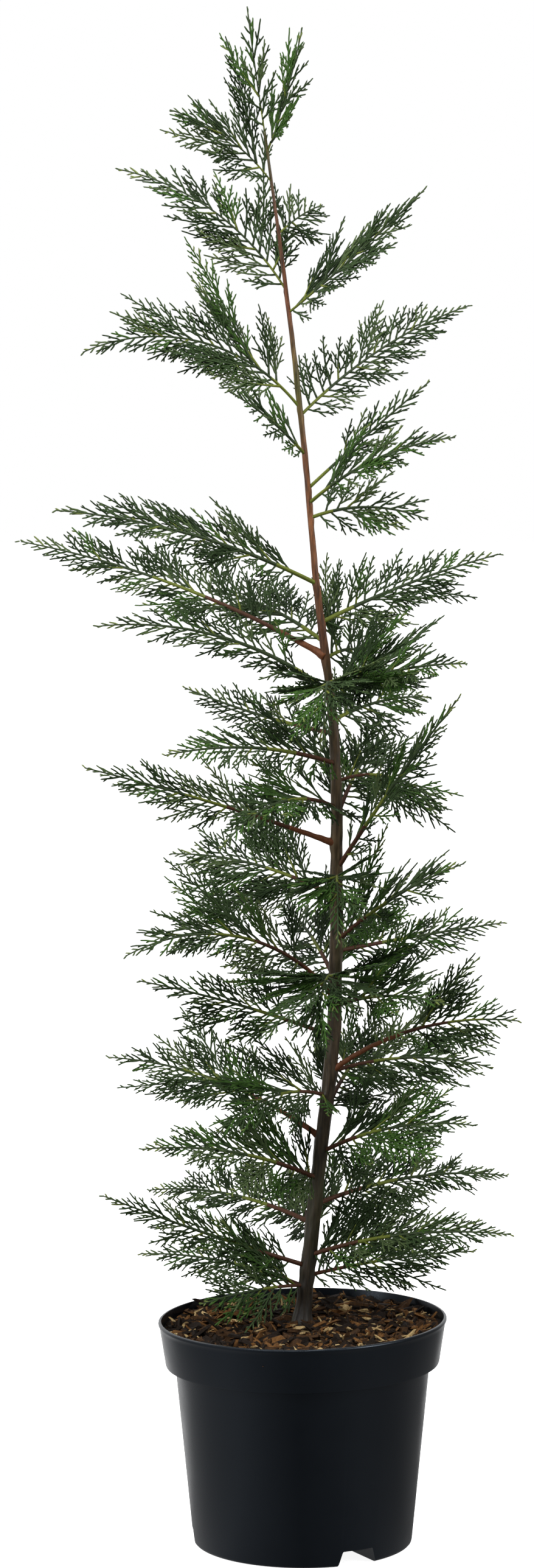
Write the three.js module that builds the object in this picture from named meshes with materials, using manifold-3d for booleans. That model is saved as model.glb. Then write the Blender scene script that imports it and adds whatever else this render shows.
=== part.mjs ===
// A young leyland cypress in a black nursery pot.
//
// Millimetres, +Z up. The origin is the middle of the pot's flat underside. +X is the right of the tree as it
// is usually looked at, and -Y is its front. One leader runs up through the crown. Limbs leave it all round,
// and each carries one fan of flat sprays. The limbs with a length of bare wood have a bough of their own,
// and the rest are leafy from near the trunk.
import * as THREE from "three";
import { mergeVertices } from "three/addons/utils/BufferGeometryUtils.js";
import Module from "manifold-3d";

const wasm = await Module();
wasm.setup();

// Driving dimensions, in millimetres, with angles in degrees
const GAP = 0.3; // between solids that meet

const POT = {
  height: 190,
  rimRadius: 120,
  collarHeight: 38,
  collarFootRadius: 114.5,
  shoulderRadius: 106.5, // just under the collar
  footRadius: 92,
  footBevel: 3,
  wall: 2,
  floor: 3,
  sides: 32,
  oval: 0.045, // share by which the thin rim is pressed out of round
  ovalHeading: 45,
};

// Drainage pockets, cut into the edge of the base. The width is that at the foot, and draft is what each side
// leans in by, for each millimetre up.
const POCKET = { count: 3, heading: -60.5, width: 36, height: 13, depth: 44, draft: 0.3 };

const COMPOST = { edgeDepth: 8, crownRadius: 16, shoulderDepth: 6, shoulderRadius: 80 };

const GROUND = POT.height - 4; // the mulch's level at the trunk

// The leader's sway and depth are given at even heights from the ground to its tip
const TRUNK = {
  tip: 1175,
  sway: [-1, 12.5, 25.5, 27.5, 25.5, 11, -0.5, -15, -32],
  depth: [0, 2, 3, -1, -4, -3, 1, 3, 2],
  girth: [[GROUND, 6], [740, 4.8], [850, 3.1], [1175, 1.1]], // height and radius
  flare: 3.4, // extra radius of the root flare at the ground
  flareHeight: 9,
  sides: 9,
  rings: 19,
  ringCrowding: 1.5, // rings lie closer together towards the ground
};

// Boughs thicken with their reach, up to a share of the trunk's own radius
const BOUGH = { sides: 5, rings: 2, radius: 1.25, radiusPerReach: 0.0062, trunkShare: 0.62, tipShare: 0.68 };

// A leafy stem starts at a share of the trunk's radius, is cut off at the bark, and ends at a share of its
// limb, where the spray at its tip takes over
const STEM = { sides: 3, sag: 0.7, sunk: 0.8, rootRadius: 1.7, tipRadius: 1.4, end: 0.86, tipSunk: 0.8 };

const SPRAY = {
  pitch: 32, // between sprays along a stem, which take alternate sides
  jitter: 0.25, // most that one is out of place, in pitches
  rootClear: 3, // least from the start of the stem to its first spray, beyond the limb's own distance
  angles: [[0, 66], [0.3, 45], [1, 26]], // share of the stem, and the angle between spray and stem there
  angleSpread: 7,
  tilt: 14, // out of the fan's plane, either way
  thickness: 1.4,
  rib: 2.2, // half width of the spray's own stem and the leaves along it
  neck: 0.5, // half width where it leaves the middle of the limb's stem
  forwardCurl: 0.2,
  lengthSpread: 0.2, // either way
  longest: 1.4, // as a share of the limb's spread, lessened near the start of the stem and towards its tip
  atStart: 0.72,
  growth: 1.3,
  falloff: 1.25,
  tipShare: 0.42, // least length, as a share of what is left of the limb, up to a reach
  tipReach: 92,
  under: 0.25, // share that is left of a spray under the start of the stem, where it is shaded
  underGrowth: 2.4,
  toothPitch: 28,
  mostTeeth: 3, // on each side
  toothAngle: 38,
  toothShare: 0.68,
  toothLag: 0.35, // of the inner side's teeth behind the outer side's, in steps
  longestTooth: 34,
  clear: 0.6, // kept to every other solid
  tries: [1, 0.72, 0.5], // shares of its length that are tried before a spray is skipped
  shortest: 14,
};

// The limbs, from the top down. Each row gives the limb's name, the height at which it leaves the trunk, the
// way it heads (0 is +X, 90 is +Y), how steeply it rises there, how far it bends over by its tip, its reach
// along its own line, the length of its widest side sprays, how far its fan is rolled up from level, its
// length of bare bough, if that shows, and the distance from there to its first spray.
const LIMBS = [
  ["top_1", 1158, -40, 64, 12, 110, 53, 70, 0, 8],
  ["left_1", 1134, 204, 51, -38, 112, 64, 124, 0, 6],
  ["right_1", 1092, 62, 25, -16, 84, 52, 54, 0, 6],
  ["left_2", 1046, 160, 57, -48, 190, 52, 124, 0, 6],
  ["right_2", 1028, -38, 33, 6, 176, 60, 54, 0, 4],
  ["left_3", 950, 199, 51, -76, 212, 76, 114, 0, 24],
  ["right_3", 944, 40, 37, -24, 214, 53, 54, 0, 8],
  ["back_1", 758, 126, 22, -22, 176, 56, 142, 0, 6],
  ["front_2", 912, 236, 34, -16, 127, 38, 122, 0, 6],
  ["right_19", 884, 14, 42, -4, 140, 27, 60, 0, 36],
  ["right_4", 872, -42, 35, -30, 173, 42, 54, 0, 16],
  ["right_16", 860, -12, 22, -46, 104, 54, 80, 0, 8],
  ["left_4", 806, 212, 25, -20, 264, 54, 124, 0, 24],
  ["front_1", 716, 266, 34, -110, 130, 84, 8, 0, 6],
  ["right_5", 774, 26, 23, -12, 182, 58, 64, 0, 3],
  ["back_2", 744, 62, 16, -56, 128, 66, 60, 0, 6],
  ["left_5", 746, 158, 27, -19, 300, 52, 114, 44, 6],
  ["left_19", 716, 178, 38, -46, 212, 25, 114, 0, 30],
  ["right_6", 717, -52, 19, -16, 184, 60, 54, 0, 5],
  ["right_7", 693, 54, 14, -22, 150, 68, 54, 0, 6],
  ["left_7", 657, 228, 17, -22, 215, 56, 124, 0, 6],
  ["left_6", 682, 134, 4, 9, 190, 19, 124, 0, 6],
  ["right_8", 642, 12, 22, -82, 106, 70, 64, 0, 6],
  ["left_16", 620, 236, 22, -58, 185, 58, 150, 0, 6],
  ["back_3", 612, 76, 28, -28, 206, 57, 40, 0, 6],
  ["left_8", 590, 202, 21, -6, 240, 43, 114, 44, 6],
  ["front_3", 568, 318, 52, -6, 208, 40, 62, 0, 18],
  ["left_9", 545, 142, 20, -26, 186, 84, 124, 0, 28],
  ["front_4", 558, 270, 30, -110, 124, 62, 10, 0, 6],
  ["right_9", 508, -46, 37, -18, 172, 62, 54, 0, 6],
  ["right_10", 500, 38, 4, -3, 191, 38, 54, 0, 6],
  ["left_17", 474, 260, 32, -112, 130, 108, 8, 0, 6],
  ["back_4", 474, 104, 24, -26, 206, 57, 138, 0, 6],
  ["left_10", 460, 210, 51, -76, 226, 71, 124, 42, 6],
  ["right_11", 398, 22, 14, -34, 156, 74, 54, 0, 6],
  ["front_5", 454, 306, 19, -24, 160, 62, 50, 0, 6],
  ["right_12", 398, -22, 38, -42, 184, 66, 64, 72, 6],
  ["left_18", 378, 220, 20, -60, 130, 76, 140, 0, 6],
  ["left_20", 428, 188, 22, -10, 176, 60, 114, 0, 40],
  ["back_5", 366, 74, 22, -26, 206, 55, 42, 0, 6],
  ["left_11", 342, 156, 32, -34, 215, 60, 114, 52, 6],
  ["right_13", 330, -41, 28, -28, 178, 74, 54, 0, 6],
  ["left_12", 308, 226, 25, -22, 220, 67, 124, 0, 6],
  ["right_14", 286, 40, 11, -24, 227, 54, 54, 0, 6],
  ["left_13", 270, 132, 11, -24, 219, 40, 124, 0, 8],
  ["back_6", 258, 96, 18, -22, 186, 50, 140, 0, 6],
  ["right_15", 243, -32, 22, -22, 204, 58, 54, 0, 6],
  ["right_18", 226, 10, 12, -12, 150, 60, 54, 0, 6],
  ["left_14", 234, 204, 20, 4, 205, 26, 114, 0, 18],
  ["front_6", 218, 222, 7, -14, 122, 56, 124, 0, 8],
  ["left_15", 216, 144, 13, -22, 181, 25, 124, 0, 20],
].map(([name, height, heading, rise, bend, reach, spread, roll, bare, first]) => {
  return { name, height, heading, rise, bend, reach, spread, roll, bare, first };
});

// The leader's own green shoot, above the trunk's tip. Its sprays stand all round it.
const LEADER = {
  name: "leader", height: TRUNK.tip, heading: 180, rise: 81, bend: 2, reach: 105, spread: 40, roll: 84,
  bare: 0, first: 4, pitch: 14, turn: -42, angleShare: 0.95,
};

const COLOURS = {
  pot: { color: 0x1a1c20, roughness: 0.42, metalness: 0 },
  mulch: { color: 0x4a3826, roughness: 0.95, metalness: 0 },
  bark: { color: 0x6a4632, roughness: 0.85, metalness: 0 },
  foliage: { color: 0x33502c, roughness: 0.7, metalness: 0 },
};

// Small helpers
const radians = THREE.MathUtils.degToRad;
const lerp = THREE.MathUtils.lerp;

// The value at x between the points [x, value] on either side of it
function between(points, x) {
  const above = Math.max(1, points.findIndex(([place]) => place >= x));
  const [[x0, low], [x1, high]] = [points[above - 1], points[above]];
  return lerp(low, high, (x - x0) / (x1 - x0));
}

// A repeatable stream of numbers from 0 to 1
function seeded(seed) {
  let state = seed >>> 0;
  return () => {
    state = (state + 0x6d2b79f5) >>> 0;
    let mixed = Math.imul(state ^ (state >>> 15), state | 1);
    mixed ^= mixed + Math.imul(mixed ^ (mixed >>> 7), mixed | 61);
    return ((mixed ^ (mixed >>> 14)) >>> 0) / 4294967296;
  };
}

// Moves every vertex of a geometry by a function that changes the point it is given
function reshape(geometry, move) {
  const place = geometry.getAttribute("position");
  const point = new THREE.Vector3();
  for (let i = 0; i < place.count; i++) {
    move(point.fromBufferAttribute(place, i));
    place.setXYZ(i, point.x, point.y, point.z);
  }
  return geometry;
}

function solidOf(geometry) {
  const bare = geometry.clone();
  bare.deleteAttribute("normal");
  bare.deleteAttribute("uv");
  const merged = mergeVertices(bare);
  return new wasm.Manifold(
    new wasm.Mesh({
      numProp: 3,
      vertProperties: merged.getAttribute("position").array,
      triVerts: new Uint32Array(merged.index.array),
    }),
  );
}

function geometryOf(solid) {
  const mesh = solid.getMesh();
  const geometry = new THREE.BufferGeometry();
  geometry.setAttribute("position", new THREE.BufferAttribute(mesh.vertProperties, 3));
  geometry.setIndex(new THREE.BufferAttribute(mesh.triVerts, 1));
  geometry.computeVertexNormals();
  return geometry;
}

// The pot and its filling

// A round solid turned about +Z from [radius, height] points
function turned(profile) {
  const points = profile.map(([radius, height]) => new THREE.Vector2(radius, height));
  return solidOf(new THREE.LatheGeometry(points, POT.sides).rotateX(Math.PI / 2));
}

// Thin plastic gives way as the pot is lifted, so it is more out of round the nearer the rim
function pressOval(geometry) {
  return reshape(geometry, (point) => {
    const turn = Math.atan2(point.y, point.x) - radians(POT.ovalHeading);
    const stretch = 1 + POT.oval * (point.z / POT.height) * Math.cos(2 * turn);
    point.x *= stretch;
    point.y *= stretch;
  });
}

// The drainage pockets, grown by a margin on every side
function pockets(margin) {
  const size = [POCKET.depth + 2 * margin, POCKET.width + 2 * margin, POCKET.height + margin];
  const cuts = [];
  for (let i = 0; i < POCKET.count; i++) {
    const box = new THREE.BoxGeometry(...size);
    box.translate(POT.footRadius - POCKET.depth / 2 + POT.footBevel, 0, (POCKET.height + margin) / 2);
    const drafted = reshape(box, (point) => {
      point.y -= Math.sign(point.y) * POCKET.draft * point.z;
    });
    drafted.rotateZ(radians(POCKET.heading + (i * 360) / POCKET.count));
    cuts.push(solidOf(drafted));
  }
  return wasm.Manifold.union(cuts);
}

// The pot's inner wall from the floor to a height near the rim, taken in by a margin
function innerWall(margin, top) {
  const shoulder = POT.height - POT.collarHeight;
  const inset = POT.wall + margin;
  const rise = (top - shoulder - POT.wall) / (POT.collarHeight - POT.wall);
  return [
    [POT.footRadius - inset, POT.floor + margin],
    [POT.shoulderRadius - inset, shoulder + POT.wall + margin],
    [POT.collarFootRadius - inset, shoulder + POT.wall + margin],
    [lerp(POT.collarFootRadius, POT.rimRadius, rise) - inset, top],
  ];
}

function potShape() {
  const shoulder = POT.height - POT.collarHeight;
  const outside = turned([
    [0, 0],
    [POT.footRadius - POT.footBevel, 0],
    [POT.footRadius, POT.footBevel],
    [POT.shoulderRadius, shoulder],
    [POT.collarFootRadius, shoulder],
    [POT.rimRadius, POT.height],
    [0, POT.height],
  ]);
  const brim = POT.height + POT.wall;
  const hollow = turned([[0, POT.floor], ...innerWall(0, brim), [0, brim]]);
  return outside.subtract(hollow.subtract(pockets(POT.wall))).subtract(pockets(0));
}

// Compost with a mulch of bark chips fills the pot, a little heaped towards the trunk
function compostShape() {
  const edge = POT.height - COMPOST.edgeDepth;
  const filling = turned([
    [0, POT.floor + GAP],
    ...innerWall(GAP, edge),
    [COMPOST.shoulderRadius, POT.height - COMPOST.shoulderDepth],
    [COMPOST.crownRadius, GROUND - GAP],
    [0, GROUND - GAP],
  ]);
  return filling.subtract(pockets(POT.wall + GAP));
}

// Trunk and limbs

// The leader's centreline, whose parameter runs evenly with height
const trunkLine = new THREE.CatmullRomCurve3(
  TRUNK.sway.map((x, i, all) => {
    return new THREE.Vector3(x, TRUNK.depth[i], lerp(GROUND, TRUNK.tip, i / (all.length - 1)));
  }),
  false,
  "catmullrom",
);

function trunkPoint(height) {
  return trunkLine.getPoint((height - GROUND) / (TRUNK.tip - GROUND));
}

function trunkRadius(height) {
  return between(TRUNK.girth, height) + TRUNK.flare * Math.exp((GROUND - height) / TRUNK.flareHeight);
}

// A limb's centreline: an arc in the upright plane of its heading
class LimbLine extends THREE.Curve {
  constructor(limb) {
    super();
    this.reach = limb.reach;
    this.rise = radians(limb.rise);
    this.bend = radians(limb.bend);
    this.ahead = new THREE.Vector3(Math.cos(radians(limb.heading)), Math.sin(radians(limb.heading)), 0);
    this.level = new THREE.Vector3(-this.ahead.y, this.ahead.x, 0);
    this.start = trunkPoint(limb.height);
  }

  getPoint(t, target = new THREE.Vector3()) {
    const slope = this.rise + this.bend * t;
    const run = (this.reach / this.bend) * (Math.sin(slope) - Math.sin(this.rise));
    const lift = (this.reach / this.bend) * (Math.cos(this.rise) - Math.cos(slope));
    target.copy(this.start).addScaledVector(this.ahead, run);
    target.z += lift;
    return target;
  }

  // The way on along the limb, the level side and the upright side
  axesAt(t) {
    const slope = this.rise + this.bend * t;
    const on = this.ahead.clone().multiplyScalar(Math.cos(slope));
    on.z = Math.sin(slope);
    return { on, level: this.level, upright: new THREE.Vector3().crossVectors(on, this.level) };
  }
}

// A tapering limb: a cylinder laid along a line, from one share of it to another
function limbShape(line, radiusAt, { sides, rings }, from, to) {
  const geometry = new THREE.CylinderGeometry(1, 1, 1, sides, rings);
  return solidOf(
    reshape(geometry, (point) => {
      const t = lerp(from, to, point.y + 0.5);
      const { level, upright } = line.axesAt(t);
      const radius = radiusAt(t);
      const [across, beside] = [point.x * radius, point.z * radius];
      line.getPoint(t, point).addScaledVector(upright, across).addScaledVector(level, beside);
    }),
  );
}

// The trunk with its root flare, thickened by a margin. Its rings are level, so it is cut flat at the ground.
function trunkShape(margin) {
  const geometry = new THREE.CylinderGeometry(1, 1, 1, TRUNK.sides, TRUNK.rings).rotateX(Math.PI / 2);
  return solidOf(
    reshape(geometry, (point) => {
      const share = point.z + 0.5;
      const height = lerp(GROUND, TRUNK.tip, share ** TRUNK.ringCrowding);
      const radius = trunkRadius(height) + margin;
      const centre = trunkPoint(height);
      point.set(centre.x + point.x * radius, centre.y + point.y * radius, height);
    }),
  );
}

function boughRadius(limb) {
  const most = BOUGH.trunkShare * trunkRadius(limb.height);
  return Math.min(BOUGH.radius + BOUGH.radiusPerReach * limb.reach, most);
}

function boughShape(limb, trunkSkin) {
  const radius = boughRadius(limb);
  const end = limb.bare / limb.reach;
  const radiusAt = (t) => radius * lerp(1, BOUGH.tipShare, t / end);
  return limbShape(new LimbLine(limb), radiusAt, BOUGH, 0, end).subtract(trunkSkin);
}

// Foliage

// One spray along +X: a flat tapering rib with pointed teeth on both sides that lean forward
function sprayGeometry(length) {
  const teeth = THREE.MathUtils.clamp(Math.round(length / SPRAY.toothPitch), 2, SPRAY.mostTeeth);
  const step = length / (teeth + 0.5);
  const lean = radians(SPRAY.toothAngle);
  const places = [];
  const faces = [];
  const pyramid = (loop, apex) => {
    loop.forEach((corner, i) => faces.push(corner, loop[(i + 1) % loop.length], apex));
  };
  const toothOn = (loop, root, side) => {
    const tooth = Math.min(SPRAY.longestTooth, SPRAY.toothShare * (length - root));
    pyramid(loop, places.length / 3);
    places.push(root + tooth * Math.cos(lean), side * (SPRAY.rib + tooth * Math.sin(lean)), 0);
  };
  for (let i = 0; i <= teeth; i++) {
    const wide = i ? SPRAY.rib * (1 - (0.5 * i) / teeth) : SPRAY.neck;
    const deep = i ? SPRAY.thickness / 2 : SPRAY.neck;
    const far = i * step;
    places.push(far, -wide, -deep, far, wide, -deep, far, wide, deep, far, -wide, deep);
  }
  for (let i = 0; i < teeth; i++) {
    const [a, b] = [4 * i, 4 * i + 4];
    faces.push(a, b + 1, b, a, a + 1, b + 1, a + 3, b + 3, b + 2, a + 3, b + 2, a + 2);
    const [outer, inner] = [[a + 1, a + 2, b + 2, b + 1], [a, b, b + 3, a + 3]];
    toothOn(outer, i * step, 1);
    if (i) toothOn(inner, (i + SPRAY.toothLag) * step, -1);
    else faces.push(a, b, b + 3, a, b + 3, a + 3);
  }
  faces.push(0, 3, 2, 0, 2, 1);
  const last = 4 * teeth;
  pyramid([last, last + 1, last + 2, last + 3], places.length / 3);
  places.push(length, 0, 0);
  const geometry = new THREE.BufferGeometry();
  geometry.setAttribute("position", new THREE.Float32BufferAttribute(places, 3));
  geometry.setIndex(faces);
  return geometry;
}

// One spray that leaves a limb at t, at an angle in the plane of the limb's fan, and curls the limb's own way
function sprayShape(line, t, { roll, angle, side }, length) {
  const { on, level, upright } = line.axesAt(t);
  const out = level.clone().multiplyScalar(Math.cos(roll)).addScaledVector(upright, Math.sin(roll));
  out.multiplyScalar(side);
  const heading = on.clone().multiplyScalar(Math.cos(angle)).addScaledVector(out, Math.sin(angle));
  const across = out.multiplyScalar(Math.cos(angle)).addScaledVector(on, -Math.sin(angle));
  const face = new THREE.Vector3().crossVectors(heading, across);
  const root = line.getPoint(t);
  return solidOf(
    reshape(sprayGeometry(length), (point) => {
      const [far, wide, deep] = [point.x, point.y, point.z];
      const curl = (SPRAY.forwardCurl * far * far) / length;
      point.copy(root).addScaledVector(heading, far).addScaledVector(across, wide);
      point.addScaledVector(face, deep).addScaledVector(on, curl);
    }),
  );
}

// How long a side spray is at t of its limb, a share along the leafy stem, by how far it points down
function sprayLength(limb, t, along, down) {
  const grown = Math.min(1, SPRAY.atStart + SPRAY.growth * along);
  const side = limb.spread * SPRAY.longest * grown * (1 - along) ** SPRAY.falloff;
  const tip = SPRAY.tipShare * Math.min(limb.reach * (1 - t), SPRAY.tipReach);
  const lit = Math.min(1, SPRAY.under + SPRAY.underGrowth * along);
  return Math.max(side, tip) * (1 - Math.max(0, down) * (1 - lit));
}

// Where a limb's leafy stem starts, as a share of its line
function stemStart(limb) {
  if (limb === LEADER) return GAP / limb.reach;
  const from = limb.bare ? limb.bare + GAP : STEM.sunk * trunkRadius(limb.height);
  return from / limb.reach;
}

// A limb's leafy stem with the spray at its tip
function stemShape(limb, trunkSkin) {
  const line = new LimbLine(limb);
  const start = stemStart(limb);
  const radiusAt = (t) => lerp(STEM.rootRadius, STEM.tipRadius, (t - start) / (STEM.end - start));
  const share = STEM.end - start;
  const bulge = limb.reach * Math.abs(radians(limb.bend)) * share ** 2 / 8; // of the arc over its chord
  const rings = Math.ceil(Math.sqrt(bulge / STEM.sag));
  const stem = limbShape(line, radiusAt, { sides: STEM.sides, rings }, start, STEM.end);
  const tipStart = STEM.end - STEM.tipSunk / limb.reach;
  const pose = { roll: radians(limb.roll), angle: 0, side: 1 };
  const tip = sprayShape(line, tipStart, pose, limb.reach * (1 - tipStart));
  return stem.add(tip).subtract(trunkSkin);
}

// A limb's stem with the sprays along it, as one solid. A spray too near the other solids is tried shorter.
function foliageShape(limb, stem, seed, others) {
  const random = seeded(seed);
  const either = () => 2 * random() - 1;
  const isClear = (spray) => others.every((other) => spray.minGap(other, SPRAY.clear) >= SPRAY.clear);
  const line = new LimbLine(limb);
  const start = stemStart(limb);
  const first = limb.first + SPRAY.rootClear;
  const leafy = limb.reach * (STEM.end - start) - first;
  const count = Math.max(2, Math.round(leafy / (limb.pitch ?? SPRAY.pitch)));
  const sprays = [];
  for (let i = 0; i < count; i++) {
    const t = start + (first + ((i + SPRAY.jitter * random()) / count) * leafy) / limb.reach;
    const along = (t - start) / (1 - start);
    const angle = between(SPRAY.angles, along) * (limb.angleShare ?? 1);
    const pose = {
      roll: radians(limb.roll + (limb.turn ?? 0) * i + SPRAY.tilt * either()),
      angle: radians(angle + SPRAY.angleSpread * either()),
      side: i % 2 ? 1 : -1,
    };
    const down = -pose.side * Math.sin(pose.roll) * line.axesAt(t).upright.z;
    const length = sprayLength(limb, t, along, down) * (1 + SPRAY.lengthSpread * either());
    const fitting = SPRAY.tries
      .map((part) => sprayShape(line, t, pose, Math.max(SPRAY.shortest, part * length)))
      .find(isClear);
    if (fitting) sprays.push(fitting);
  }
  return wasm.Manifold.union([stem, ...sprays]);
}

// The assembly
const tree = new THREE.Group();
const standing = []; // solids that all foliage keeps clear of

function add(name, geometry, finish) {
  const mesh = new THREE.Mesh(geometry, new THREE.MeshStandardMaterial(finish));
  mesh.name = name;
  tree.add(mesh);
}

const pot = pressOval(geometryOf(potShape()));
const compost = pressOval(geometryOf(compostShape()));
const trunk = trunkShape(0);
const trunkSkin = trunkShape(GAP);
add("pot", pot, COLOURS.pot);
add("compost", compost, COLOURS.mulch);
add("trunk", geometryOf(trunk), COLOURS.bark);
standing.push(solidOf(pot), solidOf(compost), trunk);

for (const limb of LIMBS.filter(({ bare }) => bare)) {
  const bough = boughShape(limb, trunkSkin);
  add(`bough_${limb.name}`, geometryOf(bough), COLOURS.bark);
  standing.push(bough);
}
const crown = [LEADER, ...LIMBS];
const leafy = crown.map((limb) => stemShape(limb, trunkSkin));
crown.forEach((limb, i) => {
  const others = [...standing, ...leafy.filter((_, k) => k !== i)];
  leafy[i] = foliageShape(limb, leafy[i], i + 1, others);
  add(`foliage_${limb.name}`, geometryOf(leafy[i]), COLOURS.foliage);
});

export default tree;
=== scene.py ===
import math

import bpy
import numpy as np
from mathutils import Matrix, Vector


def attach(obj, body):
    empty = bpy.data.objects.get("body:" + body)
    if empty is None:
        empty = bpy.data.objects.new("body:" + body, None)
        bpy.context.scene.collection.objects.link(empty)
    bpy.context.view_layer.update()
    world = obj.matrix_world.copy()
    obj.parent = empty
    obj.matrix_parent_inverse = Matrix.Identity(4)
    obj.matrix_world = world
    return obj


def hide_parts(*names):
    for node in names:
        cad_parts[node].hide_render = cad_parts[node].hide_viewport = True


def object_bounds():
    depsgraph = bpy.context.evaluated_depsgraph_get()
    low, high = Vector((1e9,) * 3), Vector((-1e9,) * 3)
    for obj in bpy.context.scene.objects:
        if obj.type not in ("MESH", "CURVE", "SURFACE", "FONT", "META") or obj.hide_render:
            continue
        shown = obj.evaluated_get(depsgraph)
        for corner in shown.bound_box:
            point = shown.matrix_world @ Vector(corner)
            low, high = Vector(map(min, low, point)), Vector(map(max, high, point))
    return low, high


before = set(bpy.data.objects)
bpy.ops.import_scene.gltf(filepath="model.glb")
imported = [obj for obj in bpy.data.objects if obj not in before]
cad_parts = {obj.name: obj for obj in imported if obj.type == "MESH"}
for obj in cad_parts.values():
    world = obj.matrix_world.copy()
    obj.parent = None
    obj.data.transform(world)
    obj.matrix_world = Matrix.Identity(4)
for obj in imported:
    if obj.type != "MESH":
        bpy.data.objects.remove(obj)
cad_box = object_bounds()

# Sizes of the solids, in millimetres, with angles in degrees. The growing rule below is the solids' own.
MM = 0.001
GAP = 0.3

POT = dict(
    height=190, rim_radius=120, collar_height=38, collar_foot_radius=114.5, shoulder_radius=106.5,
    foot_radius=92, wall=2, floor=3, oval=0.045, oval_heading=45,
)
POCKET = dict(
    count=3, heading=-60.5, width=36, height=13, depth=44, draft=0.3, bevel=3, rounding=1.2, round_steps=3,
)
MULCH = dict(
    crown_depth=4, edge_depth=8, shoulder_depth=6, shoulder_radius=80, crown_radius=16, edge_margin=2,
)
GROUND = POT["height"] - MULCH["crown_depth"]

TRUNK = dict(
    tip=1175,
    sway=[-1, 12.5, 25.5, 27.5, 25.5, 11, -0.5, -15, -32],
    depth=[0, 2, 3, -1, -4, -3, 1, 3, 2],
    girth_heights=[GROUND, 740, 850, 1175],
    girth_radii=[6, 4.8, 3.1, 1.1],
    flare=3.4, flare_height=9,
)
# Where the leader's bark is slimmer than its solid, by height
BARK_SLIM = dict(heights=[560, 640, 705, 850, 940], shares=[1, 0.9, 0.75, 0.76, 0.92])
BOUGH = dict(radius=1.25, radius_per_reach=0.0062, trunk_share=0.62, tip_share=0.68)

# Meshes and relief of the bark: rings, sides, marks around and along, and depth as a share of the radius
TRUNK_BARK = dict(
    below=4, flare_top=40, flare_rings=34, rings=430, sides=36, around=1.5, along=26, depth=0.055, seed=3,
    fine=[2.6, 2.6, 2.2], fine_depth=0.035, fine_seed=4,
)
ROOT_LOBES = dict(count=5, turn=0.7, fade=12, height=0.9)
LIMB_SWELLING = dict(width=0.75, below=1.5, tall=2.2, share=0.38)
BOUGH_RELIEF = dict(
    overlap=1.5, rings=26, sides=12, collar=0.45, collar_fade=3.5, around=1.4, along=7, depth=0.07, seed=11,
)

# Side sprays along a limb. The solids set theirs 32 mm apart, and here they stand as close as they grow.
SPRAY = dict(
    pitch=4.4, jitter=0.3, angles=[66, 45, 26], angles_at=[0, 0.3, 1], angle_spread=9, tilt=24, curl=0.2,
    length_spread=0.2, tip_share=0.34, tip_reach=92, under=0.25, under_rise=2.4, radius=0.97, step=2.8,
    leading=0.28, leading_share=1.4, leading_angle=-11, lesser_share=0.85, shortest=4, bare_tip=4,
)
SPREAD = dict(most=1.25, start=0.72, rise=1.3, fall=1.25)
# Limbs that come straight forward, in full light, and old ones low on the trunk carry their sprays closer
LIT = dict(heading=-0.9, pitch=3.4)
OLD = dict(heights=[230, 420], shares=[0.78, 1])
# Room kept from shoots to the trunk, the mulch and the rim, and what they may pass the solids' box by
CLEAR = dict(trunk=0.6, mulch=2.5, mulch_radius=112, rim=3, rim_share=1.06)
REACH_SPARE = 8

# Side shoots of a spray, the last branchlets along those, and what both have in common
SPRIG = dict(
    pitch=4.0, first=5, angle=31, angle_spread=7, tilt=13, curl=0.18, share=0.52, longest=27, shortest=4,
    radius=0.9, step=2.6, lost=0.06,
)
BRANCHLET = dict(
    pitch=3.5, first=2.8, angle=30, angle_spread=8, tilt=14, curl=0.12, share=0.53, longest=10.5,
    shortest=3.2, radius=0.86, step=2.6, lost=0.05,
)
SIDE_SHOOT = dict(bare_tip=1, jitter=0.4, start=0.62, rise=1.5, length_spread=0.25)
# Rods of scale leaves: the least and most rings, where the last is, and how they taper, start and flatten
LEAFY = dict(fewest=2, most=40, last=0.7, taper=0.3, foot=0.75, flat=0.85, turn=30)

# Stems of the limbs, with the shares of their length that are red and then yellow, and of the longer sprays
STEM = dict(
    step=4, fewest=8, end=0.97, leafy_share=0.85, tip_radius=0.55, sides=7, red=0.24, yellow=0.16, cap=0.9,
)
TWIG = dict(
    from_length=26, share=0.42, rings=5, sides=5, radius=0.75, radius_per_length=0.006, tip_radius=0.6,
    yellow_every=5,
)
RED_BELOW = 690  # height above which leafy limbs are young, with no red on their stems

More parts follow.
